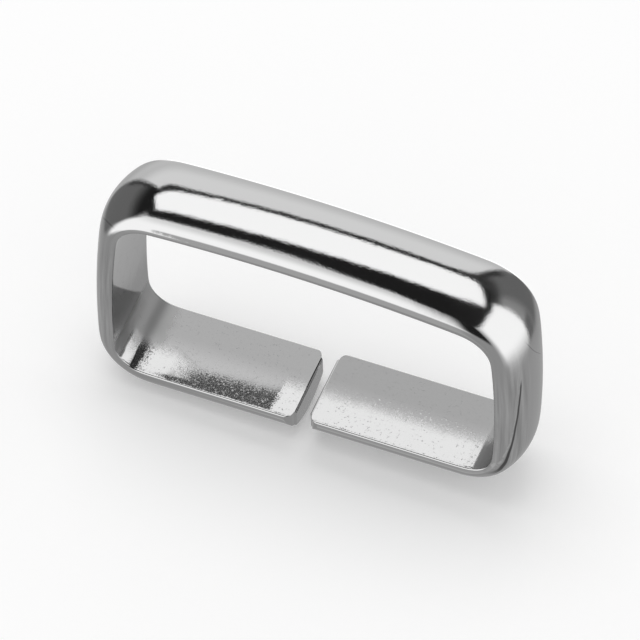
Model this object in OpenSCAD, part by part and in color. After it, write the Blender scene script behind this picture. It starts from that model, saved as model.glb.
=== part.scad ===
// Metal strap keeper: one domed bar bent into a rounded rectangular loop, open at a narrow slit
// in the lower bar. X runs along the loop's long side, Y along the strap that passes through it,
// +Z towards the upper, unbroken bar. The origin is the middle of the opening.

/* [Opening] */
// Clear width of the opening, between the middles of the side walls
opening_w = 20.5; // [14:0.1:40]
// Clear height of the opening on its centre line
opening_h = 11.7; // [8:0.1:18]
// Inside radius of the two upper corners
upper_r = 1.9; // [1.2:0.05:2.6]
// Inside radius of the two lower corners
lower_r = 1.6; // [0.8:0.05:2]

/* [Bar] */
// Width of the bar, along the strap
bar_w = 4.6; // [3.6:0.1:8]
// Height of the bar's flat rims, all round the opening
rim_h = 0.22; // [0.16:0.01:0.4]
// Thickness of the upper bar at its crest
bar_t = 1.38; // [1.3:0.02:2.2]
// Thickness of the sides at their crest
side_t = 1.48; // [1.3:0.02:2.2]
// Thickness of the lower arms at their crest
arm_t = 1.64; // [1.3:0.02:2.2]
// Radius of the dome's two shoulders
shoulder_r = 0.8; // [0.4:0.05:0.85]
// Outside radius of the two upper corners, along the crest
upper_crest_r = 3.85; // [3.2:0.05:4.4]
// Outside radius of the two lower corners, along the crest
lower_crest_r = 3.6; // [2.8:0.05:4]
// Easing of the sharp edges round the opening
edge_ease = 0.08; // [0.04:0.01:0.1]

/* [Bends] */
// Turn of the upper bar from its middle to each end, in degrees
upper_bow = 5.6; // [1:0.1:8]
// Lean of the side walls away from upright, wider below, in degrees
side_lean = 1.5; // [0:0.1:3]
// Turn of each inner side wall from its top to its bottom, in degrees
side_bow = 8.5; // [2:0.1:10]
// The same turn along the outer crest of each side, in degrees
side_crest_bow = 7.6; // [2:0.1:12]
// Rise of the right lower arm towards the slit, in degrees
right_arm_rise = -1.7; // [-4:0.1:4]
// Rise of the left lower arm towards the slit, in degrees
left_arm_rise = 1.8; // [-4:0.1:4]
// Half the step between the two arms' inner faces on the centre line, right arm higher
arm_step = 0.15; // [-0.4:0.01:0.4]

/* [Slit] */
// Width of the slit between the two lower arms
slit_w = 0.75; // [0.5:0.05:3]
// Distance of the slit's middle from the centre line
slit_offset = -0.1; // [-2:0.05:2]
// Corner radius of the arm ends, seen along the bar's thickness
end_r = 0.4; // [0.2:0.05:0.8]
// Easing of the edges round the arms' end faces
end_ease = 0.06; // [0.05:0.01:0.25]

/* [Hidden] */

// Steps along the upper bar, upper corner, side and lower corner of one half of the loop
bend_steps = [5, 11, 5, 11];
// Steps along an arm's straight stretch, and round the corners at its end
arm_steps = 3;
end_steps = 4;
// Steps across a shoulder, across half the crown and round an eased edge
shoulder_steps = 5;
crown_steps = 5;
ease_steps = 2;

half_w = bar_w / 2;
dome_h = bar_t - rim_h;
side_mid = 90 - side_lean;

// Headings are in degrees, clockwise from +X, along a path from the top middle down the right side.
// A side's own sizes: its arm's heading, its half of the opening's height on the centre line,
// and how far its arm ends from the centre line
right = [180 + right_arm_rise, opening_h - arm_step, slit_w / 2 + slit_offset];
left = [180 + left_arm_rise, opening_h + arm_step, slit_w / 2 - slit_offset];

// A path's sizes: half width at the side's middle, height on the centre line, two corner radii,
// turn of its side, arm's heading, and height of its top above the origin
function inner_path(side) =
    [opening_w / 2, side[1], upper_r, lower_r, side_bow, side[0], opening_h / 2];
function crest_path(side) =
    [opening_w / 2 + side_t, side[1] + bar_t - arm_t / cos(side[0]), upper_crest_r, lower_crest_r,
     side_crest_bow, side[0], opening_h / 2 + bar_t];

// Outward direction of a path that has this heading, and the direction along it, as [x, z]
function outward(h) = [sin(h), cos(h)];
function along(h) = [cos(h), -sin(h)];

// Radii of the upper arc and the side arc with which a path closes at its width and height
function bow_radii(path) =
    let (h0 = side_mid - path[4] / 2, h1 = side_mid + path[4] / 2, h2 = path[5],
         corner = path[2] * (outward(h0) - outward(upper_bow)),
         low = path[3] * (outward(h2) - outward(h1)),
         a = sin(upper_bow),
         b = sin(side_mid) - sin(h0),
         c = cos(upper_bow) - 1 + tan(h2) * a,
         d = cos(h1) - cos(h0) + tan(h2) * (sin(h1) - sin(h0)),
         width = path[0] - corner[0],
         drop = -path[1] - corner[1] - low[1] - tan(h2) * (corner[0] + low[0]),
         det = a * d - b * c)
    [(width * d - b * drop) / det, (a * drop - width * c) / det];

// The four arcs of a path, each as [centre, radius, first heading, last heading]
function arcs(path) =
    let (bows = bow_radii(path),
         h = [0, upper_bow, side_mid - path[4] / 2, side_mid + path[4] / 2, path[5]],
         r = [bows[0], path[2], bows[1], path[3]],
         c0 = [0, path[6] - r[0]],
         c1 = c0 + (r[0] - r[1]) * outward(h[1]),
         c2 = c1 + (r[1] - r[2]) * outward(h[2]),
         c3 = c2 + (r[2] - r[3]) * outward(h[3]),
         centres = [c0, c1, c2, c3])
    [for (i = [0:3]) [centres[i], r[i], h[i], h[i + 1]]];

// A path's heading part of the way along one of its arcs, and its point there
function heading(arc, part) = arc[2] + (arc[3] - arc[2]) * part;
function point(arc, part) = arc[0] + arc[1] * outward(heading(arc, part));

// A station is where one section of the bar stands: inner point, crest point, outward direction,
// and how much the section is cut back at each edge and inset all round there
function bend_stations(inner, crest) =
    [for (k = [0:3], i = [k == 0 ? 0 : 1 : bend_steps[k]])
        let (part = i / bend_steps[k])
        [point(inner[k], part), point(crest[k], part), outward(heading(crest[k], part)), 0, 0]];

// A station of the straight arm, this far before its end
function arm_station(side, inner_end, back, cut, inset) =
    let (p = inner_end - back * along(side[0]))
    [p, p + arm_t * outward(side[0]), outward(side[0]), cut, inset];

function arm_stations(side, inner, crest) =
    let (h = side[0],
         start = point(inner[3], 1),
         length = (side[2] - start[0]) / cos(h),
         inner_end = start + length * along(h),
         crest_start = point(crest[3], 1),
         lead = (crest_start - start) * along(h),
         straight = length - max(lead, 0) - end_r - end_ease)
    [for (i = [1:arm_steps])
         arm_station(side, inner_end, end_r + end_ease + straight * (1 - i / arm_steps), 0, 0),
     for (i = [1:end_steps])
         let (turn = 90 * i / end_steps, back = end_ease + end_r * (1 - sin(turn)))
         arm_station(side, inner_end, back, end_r * (1 - cos(turn)), 0),
     arm_station(side, inner_end, 0, end_r, end_ease)];

function half_stations(side) =
    let (inner = arcs(inner_path(side)), crest = arcs(crest_path(side)))
    concat(bend_stations(inner, crest), arm_stations(side, inner, crest));

// The dome's three arcs on the upper bar, as [distance across the bar, depth below the crest],
// from back to front
shoulder_y = half_w - shoulder_r;
crown_r = (shoulder_y * shoulder_y + dome_h * dome_h - shoulder_r * shoulder_r)
    / (2 * (dome_h - shoulder_r));
crown_half = atan2(shoulder_y, crown_r - dome_h);
half_dome = [
    for (i = [0:shoulder_steps - 1])
        let (a = 90 + (crown_half - 90) * i / shoulder_steps)
        [shoulder_y + shoulder_r * sin(a), dome_h - shoulder_r * cos(a)],
    for (i = [0:crown_steps - 1])
        let (a = crown_half * (1 - i / crown_steps))
        [crown_r * sin(a), crown_r * (1 - cos(a))]];
dome = concat(half_dome, [[0, 0]],
              [for (i = [len(half_dome) - 1:-1:0]) [-half_dome[i][0], half_dome[i][1]]]);

// The eased inner edges, as [distance across the bar, height above the inner face], front to back
half_edge = [for (i = [0:ease_steps])
    let (a = 90 * i / ease_steps)
    [half_w - edge_ease * (1 - cos(a)), edge_ease * (1 - sin(a))]];
edges = concat([for (q = half_edge) [-q[0], q[1]]],
               [for (i = [ease_steps:-1:0]) half_edge[i]]);

// The section's outline at a station, on the right (flip 1) or the left (flip -1). Its dome is as
// deep as the bar's thickness there leaves above the rims.
function ring(station, flip) =
    let (inner = station[0], crest = station[1], out = station[2], cut = station[3],
         deeper = ((crest - inner) * out - rim_h) / dome_h,
         middle = (inner + crest) / 2,
         thinner = 1 - 2 * station[4] / norm(crest - inner),
         narrower = 1 - station[4] / half_w,
         outline = concat(
             [for (q = dome) [sign(q[0]) * min(abs(q[0]), half_w - cut), crest - deeper * q[1] * out]],
             [for (q = edges) [q[0] - sign(q[0]) * cut, inner + q[1] * out]]))
    [for (q = outline)
        let (p = middle + thinner * (q[1] - middle))
        [flip * p[0], narrower * q[0], p[1]]];

// The middle of a ring, halfway from its crest to the inner face
function centre(ring) =
    let (crest = ring[len(half_dome)], inner = (ring[len(dome)] + ring[len(ring) - 1]) / 2)
    [crest[0] / 2 + inner[0] / 2, 0, crest[2] / 2 + inner[2] / 2];

// A skin over rings of points, with the first and last ring closed by fans round their middles
module loft(rings) {
    n = len(rings[0]);
    last = len(rings) - 1;
    points = concat([for (r = rings, p = r) p], [centre(rings[0]), centre(rings[last])]);
    first_centre = len(points) - 2;
    last_centre = len(points) - 1;
    walls = [for (i = [0:last - 1], j = [0:n - 1])
        let (a = i * n + j, b = i * n + (j + 1) % n)
        each [[a, b + n, b], [a, a + n, b + n]]];
    caps = [for (j = [0:n - 1])
        let (k = (j + 1) % n)
        each [[first_centre, j, k], [last_centre, last * n + k, last * n + j]]];
    polyhedron(points, concat(walls, caps));
}

module keeper_loop() {
    right_side = half_stations(right);
    left_side = half_stations(left);
    rings = concat([for (i = [len(left_side) - 1:-1:1]) ring(left_side[i], -1)],
                   [for (station = right_side) ring(station, 1)]);
    color("silver") loft(rings);
}

keeper_loop();
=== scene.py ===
# %% [markdown]
# # A chrome strap keeper
# A strap keeper is the small metal loop that holds the free end of a strap down. This one is a single
# bar with a flat inside and a domed outside, bent into a rounded rectangle whose two ends nearly meet
# in the lower side. The lesson rebuilds it as one finely divided mesh, because bright chrome shows
# every facet and every kink of the surface under it, and then sets up the small studio that the
# metal reflects.

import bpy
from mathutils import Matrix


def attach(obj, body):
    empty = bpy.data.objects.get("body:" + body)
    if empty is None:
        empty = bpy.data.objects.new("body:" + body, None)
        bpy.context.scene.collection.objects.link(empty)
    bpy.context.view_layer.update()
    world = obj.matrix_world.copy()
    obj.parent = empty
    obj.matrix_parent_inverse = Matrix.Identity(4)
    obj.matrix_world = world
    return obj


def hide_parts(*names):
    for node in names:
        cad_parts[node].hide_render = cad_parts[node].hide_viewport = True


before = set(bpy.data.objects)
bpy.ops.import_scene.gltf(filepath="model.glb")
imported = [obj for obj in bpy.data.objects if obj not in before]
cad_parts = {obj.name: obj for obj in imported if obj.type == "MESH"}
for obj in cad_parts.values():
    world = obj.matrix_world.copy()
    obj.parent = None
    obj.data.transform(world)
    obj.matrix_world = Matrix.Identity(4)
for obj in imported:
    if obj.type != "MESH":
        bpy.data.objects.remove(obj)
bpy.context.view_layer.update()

# %% [markdown]
# ## Names and units
# The part is drawn in millimetres, as its maker would, and turned into metres when the mesh is made.
# X runs along the loop's long side, Y along the strap, and Z up towards the unbroken bar.

# %% Units and small helpers
import bmesh
import bpy
import numpy as np
from mathutils import Matrix, Vector, noise

MM = 0.001


def turned(degrees):
    """Outward direction, as x and z, of a bar that runs this many degrees clockwise from +X."""
    angle = np.radians(degrees)
    return np.array([np.sin(angle), np.cos(angle)])


def ahead(degrees):
    """Direction along such a bar."""
    angle = np.radians(degrees)
    return np.array([np.cos(angle), -np.sin(angle)])


print("one unit in the numbers below is", MM, "m")

# %% [markdown]
# ## The line of the bend
# Two lines describe the bent bar: one along the middle of its flat inside, one along the crest of its
# dome. Each is a chain of four arcs on either side of the middle: the bowed upper bar, the upper
# corner, the gently bowed side and the lower corner. Where the bar goes round a corner the two lines
# don't share a centre, because bending thins the metal there, so the section has to change a little
# as it goes round. The two lower arms aren't quite in line: one sits a little higher, and each
# leans a little, as on the real piece.

# %% Sizes of the loop, in millimetres and degrees
OPENING_W, OPENING_H = 20.5, 11.7
BAR_W, RIM_H = 4.6, 0.22
BAR_T, SIDE_T, ARM_T = 1.38, 1.48, 1.64
SHOULDER_R = 0.8
UPPER_R, LOWER_R = 1.9, 1.6
UPPER_CREST_R, LOWER_CREST_R = 3.85, 3.6
UPPER_BOW, SIDE_LEAN, SIDE_BOW, SIDE_CREST_BOW = 5.6, 1.5, 8.5, 7.6
RIGHT_ARM_RISE, LEFT_ARM_RISE, ARM_STEP = -1.7, 1.8, 0.15
SLIT_W, SLIT_OFFSET = 0.75, -0.1
END_R, END_EASE, EDGE_EASE = 0.45, 0.13, 0.08
SIDES = {
    "right": {"mirror": 1, "arm": 180 + RIGHT_ARM_RISE, "height": OPENING_H - ARM_STEP,
              "end": SLIT_W / 2 + SLIT_OFFSET},
    "left": {"mirror": -1, "arm": 180 + LEFT_ARM_RISE, "height": OPENING_H + ARM_STEP,
             "end": SLIT_W / 2 - SLIT_OFFSET},
}
print("slit from", -SIDES["left"]["end"], "to", SIDES["right"]["end"], "mm")

# %% [markdown]
# ### Closing a chain of arcs
# A chain of arcs closes only when its radii fit together. The corners' radii are chosen, because the
# bending tool sets them, and the long radii of the bowed bar and the bowed side are worked out: two
# unknowns, from the width and the height that the chain has to cover. The opening then keeps its
# size exactly, whatever the other sizes are.

# %% Arcs of one line on one side


def four_arcs(half_width, height, top, upper_r, lower_r, side_turn, arm):
    """Centres, radii and headings of the arcs that close at this half width and height."""
    upright = 90 - SIDE_LEAN
    h = [0, UPPER_BOW, upright - side_turn / 2, upright + side_turn / 2, arm]
    slope = np.tan(np.radians(arm))
    upper = upper_r * (turned(h[2]) - turned(h[1]))
    lower = lower_r * (turned(h[4]) - turned(h[3]))
    bow = turned(h[1]) - turned(h[0])
    side = turned(h[3]) - turned(h[2])
    to_middle = turned(upright) - turned(h[2])
    rows = np.array([[bow[0], to_middle[0]], [bow[1] + slope * bow[0], side[1] + slope * side[0]]])
    wanted = np.array([
        half_width - upper[0],
        -height - upper[1] - lower[1] - slope * (upper[0] + lower[0]),
    ])
    bow_r, side_r = np.linalg.solve(rows, wanted)
    radii = [bow_r, upper_r, side_r, lower_r]
    centres = [np.array([0, top - bow_r])]
    for before, after, heading in zip(radii, radii[1:], h[1:]):
        centres.append(centres[-1] + (before - after) * turned(heading))
    return list(zip(centres, radii, h, h[1:]))


def along_arc(arc, share):
    centre, radius, first, last = arc
    return centre + radius * turned(first + (last - first) * share)


print("a chain of four arcs can be closed at any width and height")

# %% [markdown]
# ### Stations down the bar
# A station is a place along the bar where one section will stand. They stand closest round the
# corners, where the surface turns fast. A curve with a bevel would draw such a bar in one go, but it
# can only scale its whole section, and this bar changes its thickness while it keeps its width.

# %% Stations from the middle of the top to an arm's end
STEPS = (76, 44, 64, 44)     # along the upper bar, a corner, a side and a corner
ARM_STEPS = 76


def half_line(side):
    """Inner points, crest points and outward directions down one side of the loop."""
    arm = side["arm"]
    inner = four_arcs(OPENING_W / 2, side["height"], OPENING_H / 2, UPPER_R, LOWER_R, SIDE_BOW, arm)
    drop = side["height"] + BAR_T - ARM_T / np.cos(np.radians(arm))
    crest = four_arcs(OPENING_W / 2 + SIDE_T, drop, OPENING_H / 2 + BAR_T,
                      UPPER_CREST_R, LOWER_CREST_R, SIDE_CREST_BOW, arm)
    stations = []
    for k, steps in enumerate(STEPS):
        for i in range(0 if k == 0 else 1, steps + 1):
            share = i / steps
            heading = crest[k][2] + (crest[k][3] - crest[k][2]) * share
            stations.append((along_arc(inner[k], share), along_arc(crest[k], share), turned(heading)))
    start, crest_start = stations[-1][0], stations[-1][1]
    length = (side["end"] - start[0]) / ahead(arm)[0]
    rounding = END_R + END_EASE
    lead = max((crest_start - start) @ ahead(arm), 0)
    for i in range(1, ARM_STEPS + 1):
        gone = lead + (length - lead - rounding) * i / ARM_STEPS
        point = start + gone * ahead(arm)
        stations.append((point, point + ARM_T * turned(arm), turned(arm)))
    return [np.array(part) for part in zip(*stations)]


halves = {name: half_line(side) for name, side in SIDES.items()}
for name, (inner, crest, out) in halves.items():
    thickness = np.linalg.norm(crest - inner, axis=1)
    print(name, "side:", len(inner), "stations, bar from", round(thickness.min(), 3), "to",
          round(thickness.max(), 3), "mm thick")

# %% [markdown]
# ## Easing the bends
# A chain of arcs changes its curvature in one step at each joint, and a mirror finish would show that
# as a kink in its reflections. A real bend eases in. Both sides are joined into one line and relaxed
# a few times, each station moving towards the middle of its neighbours, which spreads each change of
# curvature over about a millimetre and moves nothing by more than 0.06 mm.

# %% Join and relax the line
RELAX_ROUNDS = 28


def join(part):
    """One array from the left arm's end over the top to the right arm's end."""
    left, right = halves["left"][part], halves["right"][part]
    return np.concatenate([left[:0:-1] * [-1, 1], right])


def relax(line, rounds):
    for _ in range(rounds):
        line = line.copy()
        line[1:-1] = line[1:-1] / 2 + (line[:-2] + line[2:]) / 4
    return line


joined = [join(part) for part in range(3)]
inner_line, crest_line, out_line = (relax(line, RELAX_ROUNDS) for line in joined)
out_line /= np.linalg.norm(out_line, axis=1, keepdims=True)
moved = np.linalg.norm(crest_line - joined[1], axis=1).max()
print("relaxing moved the crest by", round(moved, 3), "mm at most")

# %% [markdown]
# ## The section
# Across the bar, the outside is a shallow crown between two tight shoulders, and a narrow flat rim
# runs round the opening on both faces. The profile is a list of places across the bar with the
# depth of each, dome first. The dome's arcs are relaxed where they meet, as the line of the bend is,
# and only the places next to the rims are held.

# %% Places across the bar
HALF_W = BAR_W / 2
DOME_H = BAR_T - RIM_H
SHOULDER_STEPS, CROWN_STEPS, RIM_STEPS, EASE_STEPS, INSIDE_STEPS = 16, 14, 3, 5, 46
DOME_ROUNDS, HELD = 6, 3


def dome_profile():
    """From the back rim over the crest to the front rim, as distance across and depth below the crest."""
    shoulder_y = HALF_W - SHOULDER_R
    crown_r = (shoulder_y**2 + DOME_H**2 - SHOULDER_R**2) / (2 * (DOME_H - SHOULDER_R))
    crown_half = np.arctan2(shoulder_y, crown_r - DOME_H)
    a = np.pi / 2 + (crown_half - np.pi / 2) * np.arange(SHOULDER_STEPS) / SHOULDER_STEPS
    shoulder = np.stack([shoulder_y + SHOULDER_R * np.sin(a), DOME_H - SHOULDER_R * np.cos(a)], 1)
    a = crown_half * (1 - np.arange(CROWN_STEPS) / CROWN_STEPS)
    crown = np.stack([crown_r * np.sin(a), crown_r * (1 - np.cos(a))], 1)
    half = np.concatenate([shoulder, crown])
    return np.concatenate([half, [[0, 0]], half[::-1] * [-1, 1]])


def inside_profile():
    """From the front edge across the flat inside to the back edge, as distance across and height."""
    a = np.radians(np.linspace(0, 90, EASE_STEPS + 1))
    edge = np.stack([HALF_W - EDGE_EASE * (1 - np.cos(a)), EDGE_EASE * (1 - np.sin(a))], 1)
    reach = edge[-1, 0]
    y = np.linspace(-reach, reach, INSIDE_STEPS + 1)[1:-1]
    flat = np.stack([y, np.zeros_like(y)], 1)
    return np.concatenate([edge * [-1, 1], flat, edge[::-1]])


dome, inside = dome_profile(), inside_profile()
dome[HELD:-HELD] = relax(dome, DOME_ROUNDS)[HELD:-HELD]
print(len(dome), "places over the dome and", len(inside), "across the inside")

# %% [markdown]
# ## From line and section to a skin
# A ring of points stands at each station, and neighbouring rings are joined by four-sided faces. The
# dome is as deep at each station as the metal there leaves above the rims, so the rims keep their
# height all round. Between the dome and the inside, two short columns make the flat rim. At the
# slit the last rings draw in, first to round the arm's corners and then to ease the cut edge.

# %% A ring at one station


def ring(inner, crest, out, cut=0.0, inset=0.0):
    """The section's outline at one station, as x, y, z."""
    deep = ((crest - inner) @ out - RIM_H) / DOME_H
    domed_side = np.column_stack([crest - np.outer(dome[:, 1] * deep, out), dome[:, 0]])
    flat_side = np.column_stack([inner + np.outer(inside[:, 1], out), inside[:, 0]])
    share = np.linspace(0, 1, RIM_STEPS + 2)[1:-1, None]
    front = domed_side[-1] + (flat_side[0] - domed_side[-1]) * share
    back = flat_side[-1] + (domed_side[0] - flat_side[-1]) * share
    points = np.concatenate([domed_side, front, flat_side, back])
    limit = HALF_W - cut
    points[:, 2] = np.clip(points[:, 2], -limit, limit)
    middle = np.array([*(inner + crest) / 2, 0])
    shrink = np.array([1 - 2 * inset / np.linalg.norm(crest - inner)] * 2 + [1 - inset / HALF_W])
    points = middle + (points - middle) * shrink
    return points[:, [0, 2, 1]]


print("a ring has", len(dome) + len(inside) + 2 * RIM_STEPS, "points")

# %% [markdown]
# ### The cut ends
# The slit was cut and its edges broken. At each end the rings step forward along a quarter circle
# while the section is cut back from both edges, which rounds the arm's corners, and then shrink a
# little, which eases the edge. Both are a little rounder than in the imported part, as in the
# photograph. More rings run in over the cut, so that it stays flat under smooth shading.

# %% Rings along the bar and at its ends
END_STEPS = 9
CAP_STEPS = 8


def end_rings(name, inner, crest, out):
    """Rings that close one arm: its rounded corners, its eased cut and the cut face itself."""
    forward = ahead(SIDES[name]["arm"]) * [SIDES[name]["mirror"], 1]
    made = []
    for turn in np.radians(np.linspace(0, 90, END_STEPS + 1)[1:]):
        step = END_R * np.sin(turn) * forward
        made.append(ring(inner + step, crest + step, out, END_R * (1 - np.cos(turn))))
    for turn in np.radians(np.linspace(0, 90, EASE_STEPS + 2)[1:]):
        step = (END_R + END_EASE * np.sin(turn)) * forward
        made.append(ring(inner + step, crest + step, out, END_R, END_EASE * (1 - np.cos(turn))))
    middle = made[-1].mean(0)
    rim = made[-1]
    for k in range(1, CAP_STEPS):
        made.append(middle + (rim - middle) * (1 - k / CAP_STEPS))
    return made


body = [ring(inner, crest, out) for inner, crest, out in zip(inner_line, crest_line, out_line)]
left_end = end_rings("left", inner_line[0], crest_line[0], out_line[0])
right_end = end_rings("right", inner_line[-1], crest_line[-1], out_line[-1])
rings = np.array(left_end[::-1] + body + right_end)
print("skin of", len(rings), "rings with", rings.shape[1], "points each")

# %% [markdown]
# ## The unpolished inside
# The outside was ground and buffed; the inside only got the plating, so it keeps the small dents and
# pits of forming. The larger ones are real shape, so they are pressed into the mesh here with
# smooth noise, a few thousandths of a millimetre deep. The fine pitting comes later as bump.

# %% Press the dents in
DENT_DEPTH = 0.0012
DENTS_PER_MM, FINER_DENTS = 1.1, 2.3
FIRST_BODY, AFTER_BODY = len(left_end), len(rings) - len(right_end)
deepest = 0.0
is_inside = np.zeros(rings.shape[:2])
first_in = len(dome) + RIM_STEPS
is_inside[CAP_STEPS + EASE_STEPS:-CAP_STEPS - EASE_STEPS,
          first_in + EASE_STEPS:first_in + len(inside) - EASE_STEPS] = 1
is_cut = np.zeros(rings.shape[:2])
is_cut[:CAP_STEPS + 1] = is_cut[-CAP_STEPS - 1:] = 1

for i in range(FIRST_BODY, AFTER_BODY):
    out = out_line[i - FIRST_BODY]
    for j in np.nonzero(is_inside[i])[0]:
        spot = Vector(rings[i, j]) * DENTS_PER_MM
        uneven = noise.noise(spot) + 0.5 * noise.noise(spot * FINER_DENTS)
        rings[i, j, [0, 2]] += out * DENT_DEPTH * (1 + uneven)
        deepest = max(deepest, DENT_DEPTH * (1 + uneven))
print(int(is_inside.sum()), "points of the inside are dented, by", round(deepest, 4), "mm at most")

# %% [markdown]
# ## The mesh and its places
# The finish needs to know where on the bar a point lies, so each point also stores how far it is
# along the bar, across it and round it, in millimetres. Places along the bar are counted from a spot
# just inside the left arm's cut, so they don't shift when the rounding of the ends is changed.

# %% Make the loop
COUNT_FROM = 0.46


def skin(name, rings, masks):
    """A closed mesh over the rings, with one stored value per mask at each point."""
    count, columns = rings.shape[:2]
    corner = np.arange(count * columns).reshape(count, columns)
    a, b = corner[:-1], np.roll(corner, -1, 1)[:-1]
    c, d = np.roll(corner, -1, 1)[1:], corner[1:]
    walls = np.stack([a, d, c, b], -1).reshape(-1, 4)
    faces = walls.tolist() + [corner[0].tolist(), corner[-1][::-1].tolist()]
    mesh = bpy.data.meshes.new(name)
    mesh.from_pydata((rings.reshape(-1, 3) * MM).tolist(), [], faces)
    for mask, values in masks.items():
        layer = mesh.attributes.new(mask, "FLOAT", "POINT")
        layer.data.foreach_set("value", values.astype(np.float32).ravel())
    mesh.shade_smooth()
    mesh.validate()
    made = bpy.data.objects.new(name, mesh)
    bpy.context.scene.collection.objects.link(made)
    return made


def run_of(points):
    """Distance gone at each point of a chain."""
    return np.concatenate([[0], np.cumsum(np.linalg.norm(np.diff(points, axis=0), axis=1))])


first_ring = END_R + END_EASE - COUNT_FROM
run = first_ring + run_of(inner_line)
along_bar = np.zeros(rings.shape[:2])
along_bar[FIRST_BODY:AFTER_BODY] = run[:, None]
along_bar[AFTER_BODY:] = run[-1]
round_bar = np.broadcast_to(run_of(rings[len(rings) // 2]), rings.shape[:2])
masks = {"inside": is_inside, "cut_face": is_cut, "along_bar": along_bar,
         "across_bar": rings[..., 1], "round_bar": round_bar}
loop = skin("keeper_loop_chrome", rings, masks)
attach(loop, "root")
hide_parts("keeper_loop")
print("loop:", len(loop.data.polygons), "faces;", round(run[-1], 1), "mm of bar along the inside")

# %% [markdown]
# ## Shader maths as plain arithmetic
# A procedural finish is mostly sums and products of masks. Wrapped in a small class, a socket can
# be added, multiplied and subtracted like a number, and each expression lays down its Math nodes.
# Drawing the same nodes by hand would hide the sum that they stand for.

# %% A socket with arithmetic


class Mask:
    """A value that runs through a material; arithmetic on it adds Math nodes."""

    def __init__(self, socket):
        self.socket = socket
        self.tree = socket.id_data

    def node(self, kind, settings=None, inputs=None, output=0):
        return add_node(self.tree, kind, settings, inputs, output)

    def maths(self, operation, *others):
        return self.node("ShaderNodeMath", {"operation": operation}, dict(enumerate((self, *others))))

    def __add__(self, other):
        return self.maths("ADD", other)

    def __sub__(self, other):
        return self.maths("SUBTRACT", other)

    def __rsub__(self, other):
        return self.node("ShaderNodeMath", {"operation": "SUBTRACT"}, {0: other, 1: self})

    def __mul__(self, other):
        return self.maths("MULTIPLY", other)

    __radd__ = __add__
    __rmul__ = __mul__

    def at_least(self, other):
        return self.maths("MAXIMUM", other)

    def at_most(self, other):
        return self.maths("MINIMUM", other)

    def between(self, low, high):
        """0 below low, 1 above high, and smooth in between."""
        settings = {"interpolation_type": "SMOOTHSTEP"}
        return self.node("ShaderNodeMapRange", settings, {"Value": self, "From Min": low, "From Max": high})


print("masks can be added, subtracted and multiplied")

# %% [markdown]
# ### Nodes and materials
# A node is made the same way whatever its kind: its settings come first, because they can change
# which inputs it has, and then each input gets a value or a link. A material starts empty, so that
# all that is in it is laid down here.

# %% Nodes, materials and the world


def add_node(tree, kind, settings=None, inputs=None, output=0):
    """One node of this kind: its settings, then the values or links of its inputs."""
    made = tree.nodes.new(kind)
    for key, value in (settings or {}).items():
        setattr(made, key, value)
    for key, value in (inputs or {}).items():
        if isinstance(value, Mask):
            tree.links.new(value.socket, made.inputs[key])
        else:
            made.inputs[key].default_value = value
    return Mask(made.outputs[output])


def new_material(name):
    """An empty material and its tree."""
    material = bpy.data.materials.new(name)
    material.use_nodes = True
    material.node_tree.nodes.clear()
    return material, material.node_tree


def surface(tree, shader):
    """Sends a shader to the material's or the world's output."""
    is_world = tree == bpy.context.scene.world.node_tree
    end = tree.nodes.new("ShaderNodeOutputWorld" if is_world else "ShaderNodeOutputMaterial")
    tree.links.new(shader.socket, end.inputs["Surface"])


bpy.context.scene.world = bpy.data.worlds.new("studio")
bpy.context.scene.world.use_nodes = True
bpy.context.scene.world.node_tree.nodes.clear()
print("materials and the world start empty")

# %% [markdown]
# ## Edges and layers
# Nearly every mask below says where a value passes an edge, sharply or softly, and nearly every
# finish and every light is one layer hung in front of another. Three helpers say this once. An edge
# may be a number or a mask of its own.

# %% Helpers for edges and layers


def over(value, edge, soft):
    """0 well under the edge and 1 well over it."""
    if isinstance(edge, Mask):
        return (value - edge).between(-soft, soft)
    return value.between(edge - soft, edge + soft)


def within(value, low, high, soft):
    return over(value, low, soft) * (1 - over(value, high, soft))


def hang(level, mask, own_level):
    """The level with one more layer in front of it."""
    return level + (own_level - level) * mask


print("edges and layers are ready")

# %% [markdown]
# ## Chrome, buffed outside and bare inside
# Bright plating is a metal with almost no colour of its own. Its look is the studio in it, so what
# counts is how sharp the mirror is. Outside, buffing leaves a faint ripple and hairlines that run
# along the bar. Inside, fine grain and pits break the mirror up. The sawn ends are dull. The noises
# run in the loop's own millimetres, so the finish stays on the metal.

# %% Places on the bar
PLATE = (0.58, 0.58, 0.58, 1)
DULLED = (0.36, 0.36, 0.36, 1)
# GLINT is the brighter grey of the painted highlight beside the long line.
GLINT = (0.8, 0.8, 0.8, 1)
ALONG_STRETCH, ROUND_STRETCH = 0.35, 9     # hairlines are long and thin

chrome, tree = new_material("chrome_plating")


def stored(name):
    """A value that the mesh stores at its points."""
    return add_node(tree, "ShaderNodeAttribute", {"attribute_name": name}, output="Fac")


inside_mask, cut_mask = stored("inside"), stored("cut_face")
outside_mask = 1 - inside_mask
along_mm, across_mm, round_mm = stored("along_bar"), stored("across_bar"), stored("round_bar")
place = add_node(tree, "ShaderNodeTexCoord", output="Object")
place_mm = add_node(tree, "ShaderNodeVectorMath", {"operation": "SCALE"}, {0: place, "Scale": 1 / MM})
lengthwise = add_node(tree, "ShaderNodeCombineXYZ", inputs={
    "X": along_mm * ALONG_STRETCH, "Y": round_mm * ROUND_STRETCH})
print("places come from", len(masks), "stored values")

# %% [markdown]
# ### Noises and pits
# Wear is never one even texture. Each noise here has one job: a slow ripple from buffing, long
# hairlines, grain, and finer ones that will break the edges of masks into specks. Pits are where a
# noise passes a threshold inside loose patches, and a few more lie along the right arm's crease.

# %% Noises and pits
RIDGE_Y, RIDGE_WAVE, RIDGE_NEAR, RIDGE_FAR = 0.3, 0.5, 0.1, 0.4
RIDGE_START, PIT_LIMITS, RIDGE_PIT_LIMITS, PIT_SHARE = (28.0, 30.0), (0.61, 0.7), (0.56, 0.66), 0.6


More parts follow.
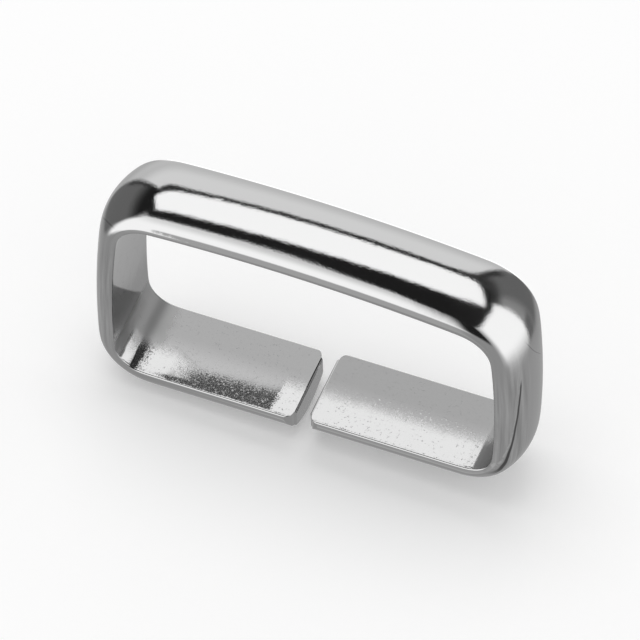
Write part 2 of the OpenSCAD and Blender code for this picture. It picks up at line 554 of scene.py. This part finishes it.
def speckle(vector, scale, detail=2.0, roughness=0.5):
    """Noise about one half."""
    inputs = {"Vector": vector, "Scale": scale, "Detail": detail, "Roughness": roughness}
    return add_node(tree, "ShaderNodeTexNoise", None, inputs, output="Fac")


def swing(vector, scale, detail=2.0, roughness=0.5):
    """The same noise about zero."""
    return speckle(vector, scale, detail, roughness) - 0.5


ripple = speckle(place_mm, scale=1.6, detail=1.0)
hairlines = speckle(lengthwise, scale=1.0, detail=3.0, roughness=0.6)
streaks = swing(lengthwise, scale=0.35, detail=3.0, roughness=0.6)
grain = speckle(place_mm, scale=9.0, roughness=0.7)
fine = swing(place_mm, scale=15.0, detail=1.0)
dust = swing(place_mm, scale=50.0, detail=0.0)
ragged = swing(place_mm, scale=4.0, detail=4.0, roughness=0.65)
wavy = swing(place_mm, scale=1.2)

patches = speckle(place_mm, scale=0.9, detail=1.0).between(0.3, 0.6)
ridge = across_mm - RIDGE_Y + speckle(place_mm, scale=1.4, detail=1.0) * RIDGE_WAVE
off_ridge = (ridge * ridge).between(RIDGE_NEAR**2, RIDGE_FAR**2)
near_ridge = (1 - off_ridge) * along_mm.between(*RIDGE_START)
pit_noise = speckle(place_mm, scale=7.0, detail=3.0, roughness=0.6)
ridge_pits = pit_noise.between(*RIDGE_PIT_LIMITS) * near_ridge
pits = (pit_noise.between(*PIT_LIMITS) * patches).at_least(ridge_pits) * PIT_SHARE
print("noises and pits use", len(tree.nodes), "nodes")

# %% [markdown]
# ## The lean of the inside
# The inside looks flat, but its reflections give it away: on each lower arm the back half mirrors the
# grey wall and the front half the lamp or the dark gap beside it, with a ragged change between, as if
# the two halves leaned a few degrees apart. The arms' ends look straight all the same, so the lean is
# given to the surface's normal alone. Along the left arm it changes: the front half leans little
# where the metal is dull and grainy, and next to the bend a dark streak and a light one follow. The
# right arm's normal is held flat until just before its bend, which starts sharply.

# %% Numbers of the lean, in degrees and in millimetres from the slit
BACK_LEAN = {"left": -3.7, "right": -5.1}
FRONT_LEAN = {"left": 5.0, "right": 3.5}
CREASE_Y = {"left": -0.55, "right": -0.4}
CORNER = {"left": 8.6, "right": 9.1}
DULL_LEAN, DULL_FROM, DULL_TO, DULL_RUN_ON, DULL_SPECKS = 0.0, 0.8, 5.8, 1.9, 6
DULL_FADE_Y, DULL_FADE = -1.6, 2.4
STREAK_LEAN, STREAK_FROM, STREAK_SPECKS = -1.5, 7.85, 9
GLOW_LEAN, GLOW_FROM, GLOW_TO, GLOW_Y, GLOW_SPECKS = 10, 8.5, 9.15, -0.9, 4
LOWER_EDGE_Y, FRONT_LINE_Y = -1.95, -2.12
FLAT_TO, BENT_FROM, HELD_TILT = 8.1, 8.47, 0.6
BRIGHT_FROM, BRIGHT_TILT = 6.9, 0.15
TIP_TO, TIP_SHIFT, CREASE_WAVE, PIT_PUSH = 0.9, 0.3, 0.2, 1.6
SPECKS, RAGGED_SPECKS, DUST, RAGGED_DUST = 2.2, 0.9, 2.5, 0.2
BAR_LENGTH = float(run[-1] + first_ring)

is_right = over(along_mm, BAR_LENGTH / 2, soft=0.1)
is_left = 1 - is_right
from_slit = along_mm + (BAR_LENGTH - along_mm * 2) * is_right
print("planes lean", BACK_LEAN, "behind and", FRONT_LEAN, "in front")

# %% [markdown]
# ### Where the lean changes
# An edge between two leans would look drawn if it were a clean line. On the metal it breaks up, so
# noise is added to the distance from the edge before that becomes a mask. With a fine noise the
# specks can be seen, and with a finer one they run together into a fade.

# %% Where the lean changes


def by_side(values):
    return values["left"] + (values["right"] - values["left"]) * is_right


def broken(distance, soft):
    """1 where the distance is above zero, breaking up into specks this far on both sides of it."""
    return over(distance * (0.5 / soft) + fine * SPECKS + ragged * RAGGED_SPECKS, 0, soft=0.2)


def dusted(distance, soft):
    """The same change with specks too small to see, so that it looks like an even fade."""
    return over(distance * (0.5 / soft) + dust * DUST + ragged * RAGGED_DUST, 0, soft=0.1)


left_tip = is_left * (1 - over(from_slit, TIP_TO, soft=0.3))
past_crease = across_mm - by_side(CREASE_Y) - left_tip * TIP_SHIFT
past_crease = past_crease + wavy * CREASE_WAVE - pits * near_ridge * PIT_PUSH
is_back = dusted(past_crease, 0.35)
bend = over(from_slit, by_side(CORNER), soft=0.3)
lower_edge = 1 - over(across_mm, LOWER_EDGE_Y, soft=0.15)
front_line = 1 - over(across_mm + ragged * 0.1, FRONT_LINE_Y, soft=0.03)
dull_end = dusted(from_slit - DULL_TO - lower_edge * DULL_RUN_ON, 0.6)
dull = broken(from_slit - DULL_FROM, 0.2) * (1 - dull_end) * is_left
dull = hang(dull, front_line, 1)
dull_fade = (across_mm - DULL_FADE_Y).at_least(0.0) * DULL_FADE
dull_specks = fine * DULL_SPECKS * (1 - over(across_mm, -0.9, soft=0.3))
streak = broken(from_slit - STREAK_FROM, 0.35) * is_left
glow = within(from_slit + wavy * 0.3, GLOW_FROM, GLOW_TO, soft=0.15) * is_left
glow = glow * (1 - dusted(across_mm - GLOW_Y, 0.8))
print("the lean changes at the crease, the dull patch, the streaks and the bends")

# %% [markdown]
# ### The leaning normal
# The leans lie over each other in layers, the last one in front. Their sum, in degrees, becomes a
# small vector that is added to the surface's own normal. Over a few degrees, adding it and going
# back to length 1 does the same as a turn, and takes only two nodes.

# %% The leaning normal
lean = hang(by_side(FRONT_LEAN), dull, DULL_LEAN - dull_fade + dull_specks)
lean = hang(lean, streak, STREAK_LEAN + fine * STREAK_SPECKS)
lean = hang(lean, is_back, by_side(BACK_LEAN)) * (1 - bend)
lean = hang(lean, glow, GLOW_LEAN + fine * GLOW_SPECKS) * inside_mask
held_flat = within(from_slit, FLAT_TO, BENT_FROM, soft=0.04) * (from_slit - FLAT_TO)
held_flat = held_flat * (is_right * HELD_TILT)
bright_patch = over(from_slit, BRIGHT_FROM, soft=0.7) * (1 - streak) * (1 - is_back) * is_left
tilt_x = (held_flat + bright_patch * BRIGHT_TILT) * inside_mask
tilt = add_node(tree, "ShaderNodeCombineXYZ", inputs={"X": tilt_x, "Y": lean * (-np.pi / 180)})
own_normal = add_node(tree, "ShaderNodeNewGeometry", output="Normal")
tilted = add_node(tree, "ShaderNodeVectorMath", {"operation": "ADD"}, {0: own_normal, 1: tilt})
tilted = add_node(tree, "ShaderNodeVectorMath", {"operation": "NORMALIZE"}, {0: tilted})
print("the normal leans by up to", GLOW_LEAN + GLOW_SPECKS / 2, "degrees")

# %% [markdown]
# ## Marks of making
# Three fine lines cross the outside where strokes of the polishing wheel meet: a long slanting one
# down the front of the right side, and a short one near each upper corner. Beside the long line a
# painted highlight, a thin glint and a broader streak, brightens the plate. The upper bar also has
# one tiny dent beside its crest. Both sides are streaked lengthwise, more than the upper bar. The
# tight inner corners are blurred, and the right one is darkened as painted shade.

# %% Lines and dent, in millimetres along and across the bar
LINE_HALF, SHORT_HALF, GLINT_HALF = 0.05, 0.035, 0.02
LONG_LINE = {"from": 41.8, "to": 48.9, "y": -1.46, "at": 42.0, "slope": -0.11}
RIGHT_LINE = {"at": 40.9, "slant": 1.55, "from": -0.6, "to": 0.6, "soft": 0.15, "share": 0.4}
LEFT_LINE = {"at": 18.2, "slant": -0.7, "from": -2.15, "to": -1.2, "soft": 0.1, "share": 0.3}
BROAD_GLINT = {"from": 40.3, "to": 44.5, "off": 0.2, "half": 0.06, "share": 0.35}
DENT_ALONG, DENT_Y, DENT_REACH = 23.9, 0.28, 0.4


def thin(distance, half):
    return within(distance, -half, half, half / 2)


def short_line(line):
    """A fine line across the bar."""
    across = within(across_mm, line["from"], line["to"], line["soft"])
    return thin(along_mm - line["at"] - across_mm * line["slant"], SHORT_HALF) * across * line["share"]


long_line_y = (along_mm - LONG_LINE["at"]) * LONG_LINE["slope"]
off_line = across_mm - LONG_LINE["y"] - long_line_y + wavy * 0.06
on_stretch = within(along_mm, LONG_LINE["from"], LONG_LINE["to"], soft=0.4)
long_line = thin(off_line, LINE_HALF) * on_stretch
# Painted highlight: a thin glint and a broader streak beside the long line, brighter than the plate.
glint = thin(off_line + 2.2 * LINE_HALF, GLINT_HALF) * on_stretch * over(ragged, 0.0, soft=0.1)
broad_glint = thin(off_line + BROAD_GLINT["off"], BROAD_GLINT["half"]) * within(along_mm, BROAD_GLINT["from"], BROAD_GLINT["to"], 1.0)
glint = glint + broad_glint * BROAD_GLINT["share"]
marks = (long_line + short_line(RIGHT_LINE) + short_line(LEFT_LINE)) * outside_mask

dent_x, dent_y = along_mm - DENT_ALONG, across_mm - DENT_Y
dent = 1 - (dent_x * dent_x + dent_y * dent_y).between(0.0, DENT_REACH * DENT_REACH)
print("a long line, two short ones and a dent")

# %% [markdown]
# ### Sides and corners
# The wheel presses differently on each stretch of the bar. These masks mark off the stretches, by
# the place along the bar on the outside and by the distance from the slit on the inside, where both
# arms then share one line of code. The finish below blurs them, streaks the sides and darkens the
# right inner corner as painted shade.

# %% Sides and corners
SIDE_STRETCH = {"left": (9.5, 18.5, 1.5), "right": (40.8, 49.0, 1.2)}
UPPER_CORNER = {"left": (18.0, 20.5, 0.8), "right": (37.5, 41.0, 0.8)}
CORNER_WEAR = {"left": 0.3, "right": 0.8}
CORNER_START, CORNER_END = {"left": 7.6, "right": 9.0}, 9.8
DARK_END, LEFT_BEND = 9.9, (9.3, 10.2, 0.3)

sides = within(along_mm, *SIDE_STRETCH["left"]) + within(along_mm, *SIDE_STRETCH["right"])
sides = sides * outside_mask
front_sides = sides * (1 - over(across_mm, -1.0, soft=0.6))
upper_corners = (within(along_mm, *UPPER_CORNER["left"]) * CORNER_WEAR["left"]
                 + within(along_mm, *UPPER_CORNER["right"]) * CORNER_WEAR["right"]) * outside_mask
ragged_slit = from_slit + wavy
corners = over(ragged_slit, by_side(CORNER_START), soft=0.6)
corners = corners * (1 - over(ragged_slit, CORNER_END, soft=0.6)) * inside_mask
# Painted shade: the right inner corner is darkened from where its bend starts.
shaded_corner = over(from_slit + ragged * 0.1, BENT_FROM, soft=0.05)
shaded_corner = shaded_corner * (1 - over(from_slit, DARK_END, soft=0.4)) * is_right * (1 - is_back)
left_bend = within(from_slit, *LEFT_BEND) * is_left
print("sides and corners are marked off")

# %% [markdown]
# ## Relief and roughness
# Ripple, grain, dents and pits go in as a bump over the leaning normal, because they are too fine for
# the mesh. Grain fades towards the rims, where the metal is smoother. Roughness then says how sharp
# the mirror is: sharp outside, softer inside, and dull on the cut.

# %% Relief and roughness
RIPPLE, HAIRLINE, GRAIN, RIM_GRAIN = 0.004, 0.0003, 0.0035, 0.0007       # depths in millimetres
DENT, MARK, INNER_GRAIN, PIT, SAW_MARK = 0.003, 0.003, 0.0006, 0.004, 0.004
BUFFED, BARE, SAWN = 0.05, 0.1, 0.25                                      # roughness, and what adds to it
HAIRLINE_BLUR, SIDE_BLUR, UPPER_CORNER_BLUR = 0.015, 0.04, 0.07
PIT_BLUR, CORNER_BLUR, LEFT_BEND_BLUR, RIGHT_SHARE = 0.15, 0.35, 0.3, 0.4

rimward = over(across_mm * across_mm, 3.6, soft=0.8)
outer_relief = ripple * RIPPLE + hairlines * HAIRLINE + grain * (GRAIN - rimward * (GRAIN - RIM_GRAIN))
outer_relief = outer_relief - dent * DENT - marks * MARK
inner_relief = grain * INNER_GRAIN - pits * PIT
relief = outer_relief * outside_mask + inner_relief * inside_mask + grain * cut_mask * SAW_MARK
bump = add_node(tree, "ShaderNodeBump", None, {
    "Strength": 1.0, "Distance": MM, "Height": relief, "Normal": tilted}, "Normal")

outer_rough = BUFFED + hairlines * HAIRLINE_BLUR + sides * SIDE_BLUR + upper_corners * UPPER_CORNER_BLUR
blurred = (corners * (is_back + RIGHT_SHARE * is_right)).at_least(shaded_corner).at_most(1.0)
inner_rough = BARE + pits * PIT_BLUR + blurred * CORNER_BLUR + left_bend * LEFT_BEND_BLUR
rough = outer_rough * outside_mask * (1 - cut_mask) + inner_rough * inside_mask + SAWN * cut_mask
print("relief and roughness are set")

# %% [markdown]
# ### Tint
# Plating that is scratched or pitted sends back less light. The inside is greyer than the plate, more
# so on its back half, and the right inner corner is darkened further as painted shade. One mask says
# how far each place is dulled and mixes the plate's grey with a darker one, and it may pass 1 for the
# darkest lines and streaks. A second mix paints a highlight beside the long line, a thin glint and a
# broader streak.

# %% The plated finish
FRONT_GREY, BACK_GREY, CREASE_LIGHTER = 0.32, {"left": 0.86, "right": 1.0}, 0.35
CORNER_SHADE_GREY, MARK_GREY, STREAK_GREY, GREYEST, GLINT_SHARE = 1.2, 2.6, 3.2, 2.1, 0.7

back_grey = by_side(BACK_GREY) - CREASE_LIGHTER * (1 - over(across_mm, 0.15, soft=0.6))
inner_grey = hang(FRONT_GREY, is_back * (1 - bend), back_grey)
# Pits are darker; the right inner corner gets painted shade, over its bend and where the bend starts.
inner_grey = inner_grey.at_least(pits).at_least(corners * is_right)
inner_grey = inner_grey.at_least(shaded_corner * CORNER_SHADE_GREY)
greyer = inner_grey * inside_mask + marks * MARK_GREY + streaks * front_sides * STREAK_GREY
tint = add_node(tree, "ShaderNodeMix", {"data_type": "RGBA", "clamp_factor": False}, {
    "Factor": greyer.at_most(GREYEST), 6: PLATE, 7: DULLED}, output=2)
# Painted highlight beside the long line, mixed towards the brighter grey.
tint = add_node(tree, "ShaderNodeMix", {"data_type": "RGBA"}, {
    "Factor": glint * GLINT_SHARE, 6: tint, 7: GLINT}, output=2)
shader = add_node(tree, "ShaderNodeBsdfPrincipled", None, {
    "Base Color": tint, "Metallic": 1.0, "Roughness": rough, "Normal": bump}, "BSDF")
surface(tree, shader)
loop.data.materials.append(chrome)
print("chrome uses", len(tree.nodes), "nodes")

# %% [markdown]
# ## A plain studio
# The loop stands on a plain pale floor under one large soft lamp and an even sky. To the camera the
# world beyond the floor is white, and the floor adds a little light of its own, so that it stays
# pale and still keeps the loop's soft shadow.

# %% The floor
FLOOR_TONE, FLOOR_LIFT, FLOOR_REACH = 0.9, 0.12, 2
lowest = min(v.co.z for v in loop.data.vertices)


def staged(name, mesh):
    """An object of the studio, which isn't part of the model."""
    made = bpy.data.objects.new(name, mesh)
    bpy.context.scene.collection.objects.link(made)
    return made


square = [(-1, -1), (1, -1), (1, 1), (-1, 1)]
sheet = bpy.data.meshes.new("floor")
sheet.from_pydata([(x * FLOOR_REACH, y * FLOOR_REACH, lowest) for x, y in square], [], [[0, 1, 2, 3]])
floor = staged("floor", sheet)
paint, tree = new_material("pale_floor")
ray = add_node(tree, "ShaderNodeLightPath", output="Is Camera Ray")
matt = add_node(tree, "ShaderNodeBsdfDiffuse", None, {"Color": (FLOOR_TONE,) * 3 + (1,)}, "BSDF")
lift = add_node(tree, "ShaderNodeEmission", None, {"Color": ray * FLOOR_LIFT, "Strength": 1.0}, "Emission")
surface(tree, add_node(tree, "ShaderNodeAddShader", None, {0: matt, 1: lift}, "Shader"))
floor.data.materials.append(paint)
floor.visible_glossy = False
print("floor at", round(lowest / MM, 3), "mm")

# %% [markdown]
# ### Sky and lamp
# The world is seen in two ways. To the camera and to mirror rays it is white, as paper behind the
# loop would be, and everything else gets a softer sky. One large lamp overhead draws the soft shadow.
# It is left out of reflections, because the tent below holds the lights that the metal shows.

# %% Sky and lamp
SKY_LEVEL = 0.7
LAMP_WIDTH, LAMP_DEPTH, LAMP_WATTS, LAMP_PLACE = 0.5, 0.4, 1.2, (-0.1, 0.1, 0.6)
tree = bpy.context.scene.world.node_tree


def plain_sky(strength):
    return add_node(tree, "ShaderNodeBackground", None, {
        "Color": (1, 1, 1, 1), "Strength": strength}, "Background")


seen = [add_node(tree, "ShaderNodeLightPath", output=f"Is {kind} Ray")
        for kind in ("Camera", "Glossy", "Transmission")]
white = (seen[0] + seen[1] + seen[2]).between(0.0, 1.0)
surface(tree, add_node(tree, "ShaderNodeMixShader", None, {
    "Fac": white, 1: plain_sky(SKY_LEVEL), 2: plain_sky(1.0)}, "Shader"))

lamp = bpy.data.lights.new("soft_lamp", "AREA")
lamp.shape, lamp.size, lamp.size_y, lamp.energy = "RECTANGLE", LAMP_WIDTH, LAMP_DEPTH, LAMP_WATTS
lamp_object = bpy.data.objects.new("soft_lamp", lamp)
lamp_object.location = LAMP_PLACE
lamp_object.rotation_euler = (-Vector(LAMP_PLACE)).to_track_quat("-Z", "Y").to_euler()
lamp_object.visible_glossy = False
bpy.context.scene.collection.objects.link(lamp_object)
print("sky at", SKY_LEVEL, "and one soft lamp")

# %% [markdown]
# ## What the chrome sees
# A photographer lights chrome by what it reflects: white diffusers where the metal should be bright,
# black cards where it should be dark. The whole set is painted here on the inside of one round tent,
# panel by panel, each with its own soft or crisp edge, because a mirror shows the edge of a light as
# clearly as the light. A place on the tent is given by its bearing round the loop, 0 for the front
# and 90 for the right, and its height above the horizon, both in degrees. The tent is small, as such
# tents are for small metalwork, so two spots of the same slope but far apart on the loop mirror
# different places of it. Only reflections see the tent, so it neither lights the floor nor hides the
# loop.

# %% A round tent that only reflections see
TENT_RADIUS = 0.07
DEGREES = 180 / np.pi

tent_mesh = bpy.data.meshes.new("studio_tent")
shape = bmesh.new()
bmesh.ops.create_uvsphere(shape, u_segments=96, v_segments=48, radius=TENT_RADIUS)
shape.to_mesh(tent_mesh)
shape.free()
tent = staged("studio_tent", tent_mesh)
tent.visible_camera = tent.visible_diffuse = tent.visible_shadow = False
tent.visible_transmission = tent.visible_volume_scatter = False
tent_paint, tree = new_material("tent_paint")
tent_paint.cycles.emission_sampling = "NONE"
tent.data.materials.append(tent_paint)

spot = add_node(tree, "ShaderNodeTexCoord", output="Object")
aim = add_node(tree, "ShaderNodeVectorMath", {"operation": "NORMALIZE"}, {0: spot})
to_right, to_back, upward = (add_node(tree, "ShaderNodeSeparateXYZ", None, {0: aim}, axis) for axis in "XYZ")
bearing = to_right.maths("ARCTAN2", 0 - to_back) * DEGREES
height = upward.maths("ARCSINE") * DEGREES
print("the tent stands", TENT_RADIUS, "m round the loop")

# %% [markdown]
# ### Panels
# A panel covers what was painted before it: the level under it gives way to its own level as far
# as its mask says. A level of 1 is plain white paper, and about 1.5 a lit diffuser. Where two panels
# share an edge, it is worked out once. The right end of the back wall leans outwards as it goes up.

# %% Shared levels and edges
FLOOR_GREY, GAP_BLACK, CEILING_BLACK, DIFFUSER = 0.415, 0.045, 0.02, 1.54
LEFT_SEAM, BACK_STRIP_END = -122.9, -147
WALL_END, WALL_LEAN, LEANS_UP_TO, FOOT_SHIFT = 161, 0.25, 43.0, 7
wall_end = WALL_END + height.at_least(0.0).at_most(LEANS_UP_TO) * WALL_LEAN
wall_end = wall_end + FOOT_SHIFT * (1 - over(height, -5, soft=4))
print("floor", FLOOR_GREY, "ceiling", CEILING_BLACK, "diffuser", DIFFUSER)

# %% [markdown]
# ### Back and left
# The back wall is bright, more so towards its top, and stands on a brighter strip of lit floor. The
# left wall is dark, with a black seam where the two meet. They are hung first, because the lights in
# front and on the right cover parts of them.

# %% Back and left
BACK_WALL, BACK_RISE, LIT_FLOOR, FOOT_STRIP, BACK_FLOOR = 0.78, 0.265, 1.88, 0.55, 0.5
LEFT_WALL, LEFT_RISE, FRONT_FLOOR, FRONT_RISE = 0.19, 0.23, 0.4, 0.165

behind = 1 - within(bearing, LEFT_SEAM, wall_end, soft=2)
level = hang(FLOOR_GREY, behind, BACK_WALL + BACK_RISE * over(height, 17, soft=11.5))
lit_floor = within(height, -40, -13.8, soft=8) * (1 - within(bearing, BACK_STRIP_END, 152.8, soft=6))
level = hang(level, behind * lit_floor, LIT_FLOOR)
foot_strip = over(bearing, BACK_STRIP_END, soft=5) * (1 - over(bearing, LEFT_SEAM, soft=1))
level = hang(level, foot_strip * (1 - over(height, -12, soft=12)), FOOT_STRIP)
level = hang(level, behind * (1 - over(height, -43, soft=4)), BACK_FLOOR)
left_wall = over(bearing, LEFT_SEAM, soft=2) * (1 - over(bearing, -48, soft=10))
level = hang(level, left_wall, LEFT_WALL + LEFT_RISE * (1 - over(height, -28, soft=6)))
left_seam = within(bearing, -121.8, -118.9, soft=1.5) * over(height, -2, soft=5)
level = hang(level, left_seam, GAP_BLACK)
front_floor = within(bearing, -75, 15, soft=12) * (1 - over(height, 0, soft=5))
lit_front = over(height, -46, soft=3) + within(height, -70, -56.5, soft=4)
lit_front = within(bearing, -33, 0, soft=5) * lit_front
level = hang(level, front_floor, FRONT_FLOOR + FRONT_RISE * lit_front)
level = hang(level, left_wall * over(height, 28.2, soft=11.8), CEILING_BLACK)
print("back and left walls hang")

# %% [markdown]
# ### Front
# In front on the left stands a large diffuser, dimmer towards its top, with a dark gap under its
# right foot. The camera looks in from the black side next to it. The diffuser's right end fades
# slowly, as cloth does away from its lamp, and only the gap beneath it has a crisp edge.

# %% Front
DIFFUSER_END, CAMERA_END = 5.4, 49
FRONT_LIGHT, FRONT_FALL, FRONT_LEAN_BACK = 1.52, 0.815, 0.17

diffuser = over(bearing + height * FRONT_LEAN_BACK, -68, soft=10) * (1 - over(bearing, DIFFUSER_END, soft=10))
foot_gap = over(bearing, -23.2, soft=0.7) * (1 - over(height, -1.5, soft=5.3))
diffuser = diffuser * over(height, -28.5, soft=6) * (1 - foot_gap)
level = hang(level, diffuser, FRONT_LIGHT - FRONT_FALL * over(height, 57, soft=35))
camera_side = over(bearing, DIFFUSER_END, soft=10) * (1 - over(bearing, CAMERA_END, soft=5))
level = hang(level, camera_side * over(height, 7.3, soft=6.4), CEILING_BLACK)
print("the front hangs")

# %% [markdown]
# ### Right
# On the right comes a second diffuser with a fading foot and a dimmer tail, then the dark right wall,
# which ends in a black seam against the back. The wall is a little lighter next to the light and at
# its foot, where the floor shines on it, and a short dark post stands before it.

# %% Right
LIGHT_END = 117.8
BEFORE_LIGHT, LIGHT_TAIL = 0.574, 0.64
RIGHT_WALL, RIGHT_RISE, RIGHT_FOOT, RIGHT_POST, RIGHT_TOP = 0.19, 0.18, 0.42, 0.18, 0.06

before_light = within(bearing, CAMERA_END, LIGHT_END, soft=5) * over(height, -30, soft=10)
level = hang(level, before_light, BEFORE_LIGHT)
light_tail = within(bearing, 78, 104, soft=8) * over(height, -36, soft=8)
level = hang(level, light_tail, LIGHT_TAIL)
right_light = over(bearing, 63.6, soft=13.9) * (1 - over(bearing, LIGHT_END, soft=2.3))
level = hang(level, right_light * over(height, -16.7, soft=16.4), DIFFUSER)
right_wall = over(bearing, LIGHT_END, soft=2.3) * (1 - over(bearing, wall_end, soft=3))
level = hang(level, right_wall, RIGHT_WALL + RIGHT_RISE * (1 - over(bearing, 129.3, soft=6)))
level = hang(level, right_wall * (1 - over(height, -26.5, soft=8)), RIGHT_FOOT)
dark_post = within(bearing, 118, 129, soft=2.3) * within(height, -25, -3, soft=4)
level = hang(level, dark_post, RIGHT_POST)
level = hang(level, right_wall * over(height, 36.4, soft=6.9), RIGHT_TOP)
right_seam = within(bearing, wall_end - 9, wall_end - 0.5, soft=2.5) * over(height, 17, soft=6)
level = hang(level, right_seam, GAP_BLACK)
print("the right hangs")

# %% [markdown]
# ### Ceiling
# The ceiling is black. It comes lowest at the back, where only a dark gap is left between the wall
# and the large softbox overhead, and the gap comes down a little more at both of its ends. Its foot
# is a level that changes with the bearing, so a mask serves as the edge of the next one.

# %% Ceiling and gap
CEILING_FOOT, FRONT_LIFT, RIGHT_DROP = 49.3, 20.7, 3.5
GAP_FOOT, RIGHT_GAP_DROP, LEFT_GAP_DROP = 46.2, 5, 3.5

ceiling_foot = CEILING_FOOT + FRONT_LIFT * within(bearing, -61, 9.4, soft=19)
ceiling_foot = ceiling_foot - RIGHT_DROP * within(bearing, 100, 140, soft=8)
level = hang(level, over(bearing, -126, soft=2) * over(height, ceiling_foot, soft=3.5), CEILING_BLACK)
gap_foot = GAP_FOOT - RIGHT_GAP_DROP * within(bearing, 163, 175, soft=4)
gap_foot = gap_foot - LEFT_GAP_DROP * within(bearing, -140, -118, soft=4)
gap = over(height, gap_foot, soft=1.3) * (1 - within(bearing, -123.2, 160, soft=2))
level = hang(level, gap, GAP_BLACK)
print("the ceiling hangs")

# %% [markdown]
# ### Overhead softbox
# A large softbox hangs overhead, and its crisp outline shows in both upper corners of the loop. The
# outline is given on a level plane above the loop, as distances to the right and to the back for a
# plane one unit up, and each of its edges is a mask that keeps one side of a line.

# %% Overhead softbox
SOFTBOX_OUTLINE = [(-0.615, -0.09), (0.063, 0.07), (0.654, 0.199), (0.571, 0.355), (0.291, 0.689),
                   (0.095, 0.764), (-0.408, 0.686), (-0.587, 0.549), (-0.78, 0.42), (-0.845, 0.32)]
SOFTBOX_EDGE = 0.027


def inside_outline(corners, spot_above, soft):
    """1 on the inner side of every edge of an outline that runs anticlockwise, 0 elsewhere."""
    mask = 1
    for start, end in zip(corners, corners[1:] + corners[:1]):
        run_x, run_y = end[0] - start[0], end[1] - start[1]
        reach = np.hypot(run_x, run_y)
        line = (-run_y / reach, run_x / reach, (run_y * start[0] - run_x * start[1]) / reach)
        distance = add_node(tree, "ShaderNodeVectorMath", {"operation": "DOT_PRODUCT"}, {
            0: spot_above, 1: line}, "Value")
        mask = over(distance, 0, soft) * mask
    return mask


one_up = upward.at_least(0.1)
one_up = add_node(tree, "ShaderNodeCombineXYZ", inputs={"X": one_up, "Y": one_up, "Z": one_up})
above = add_node(tree, "ShaderNodeVectorMath", {"operation": "DIVIDE"}, {0: aim, 1: one_up})
softbox = inside_outline(SOFTBOX_OUTLINE, above, SOFTBOX_EDGE) * over(upward, 0.15, soft=0.04)
level = hang(level, softbox, DIFFUSER)
surface(tree, add_node(tree, "ShaderNodeEmission", None, {"Color": level, "Strength": 1.0}, "Emission"))
print("the tent's paint uses", len(tree.nodes), "nodes")

# %% [markdown]
# ## The camera
# The photograph looks down on the loop from the front right, from far enough away that perspective
# is slight. The camera stands at that bearing, height and distance, turned a little about its own
# axis, and is moved a hair sideways so that the loop sits in the picture as it does there.

# %% Camera at the photographed angle
BEARING, HEIGHT_ANGLE, ROLL = 21.643, 53.304, 0.264
DISTANCE, FOCAL_PIXELS, PICTURE = 0.40777, 8166.7, 640
CENTRE_X, CENTRE_Y = 318.78, 317.10
NEAR, FAR = 0.01, 10


def toward(degrees_round, degrees_up):
    """Unit direction from the loop; 0 degrees round is towards the front, 90 to the right."""
    a, e = np.radians([degrees_round, degrees_up])
    return Vector((np.sin(a) * np.cos(e), -np.cos(a) * np.cos(e), np.sin(e)))


camera_data = bpy.data.cameras.new("photo_camera")
camera_data.lens = FOCAL_PIXELS / PICTURE * camera_data.sensor_width
camera_data.clip_start, camera_data.clip_end = NEAR, FAR
back = toward(BEARING, HEIGHT_ANGLE)
right = Vector((np.cos(np.radians(BEARING)), np.sin(np.radians(BEARING)), 0))
up = back.cross(right)
turn = np.radians(ROLL)
right, up = right * np.cos(turn) + up * np.sin(turn), up * np.cos(turn) - right * np.sin(turn)
pixel = DISTANCE / FOCAL_PIXELS
nudge = right * (PICTURE / 2 - CENTRE_X) * pixel + up * (CENTRE_Y - PICTURE / 2) * pixel
axes = Matrix((right, up, back)).transposed().to_4x4()
camera = bpy.data.objects.new("photo_camera", camera_data)
camera.matrix_world = Matrix.Translation(back * DISTANCE + nudge) @ axes
bpy.context.scene.collection.objects.link(camera)
bpy.context.scene.camera = camera
bpy.context.scene.view_settings.view_transform = "Standard"
print("lens", round(camera_data.lens, 1), "mm")

# %% [markdown]
# ## Finishing
# The dressed loop has to fit the imported part. The last call brings the scene up to date.

# %% Finish
bpy.context.view_layer.update()
